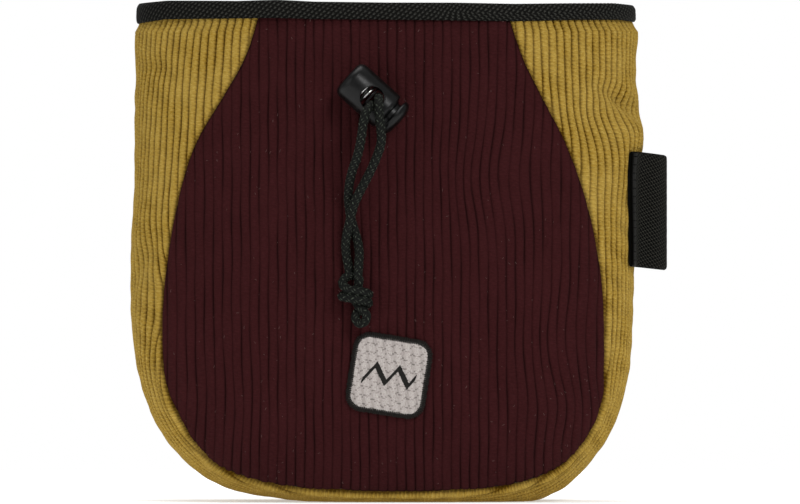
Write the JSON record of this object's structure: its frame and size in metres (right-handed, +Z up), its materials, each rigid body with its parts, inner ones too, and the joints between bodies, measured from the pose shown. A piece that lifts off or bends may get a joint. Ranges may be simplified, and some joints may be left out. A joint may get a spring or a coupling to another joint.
{
  "type": "climbing chalk bag",
  "caption": "Corduroy climbing chalk bag with a stiff oval mouth, bell-shaped front panel, wrap-round gusset, side brush loop, back belt loop and a drawcord in a cord lock.",
  "frame": {"origin": "centre of the flat underside, on the surface that the bag stands on, below the middle of the mouth", "axes": "+Z up through the mouth, -Y out of the front panel, +X to the side that carries the brush loop"},
  "size_m": [0.1604, 0.11, 0.1494],
  "materials": {
    "burgundy_corduroy": "ribbed cotton pile",
    "mustard_corduroy": "ribbed cotton pile",
    "binding_tape": "woven twill tape",
    "webbing": "diagonal woven webbing",
    "patch_embroidery": "satin stitched thread",
    "lock_plastic": "moulded, semi-gloss",
    "spring_steel": "bright wire",
    "cord_braid": "braided, light flecks"
  },
  "bodies": {
    "bag": {"front_panel": "burgundy_corduroy", "back_panel": "mustard_corduroy", "gusset": "mustard_corduroy", "rim_binding": "binding_tape", "brush_loop": "webbing", "belt_loop": "webbing", "patch": "patch_embroidery", "toggle_barrel": "lock_plastic", "toggle_spring": "spring_steel", "cord_left": "cord_braid", "cord_right": "cord_braid", "knot": "cord_braid"},
    "plunger": {"toggle_plunger": "lock_plastic"}
  },
  "joints": [
    {"name": "plunger_press", "type": "slide", "parent": "bag", "child": "plunger", "axis": [-0.7431, 0, 0.6691], "range_m": [0, 0.0014], "stiffness_N_per_m": 300}
  ]
}
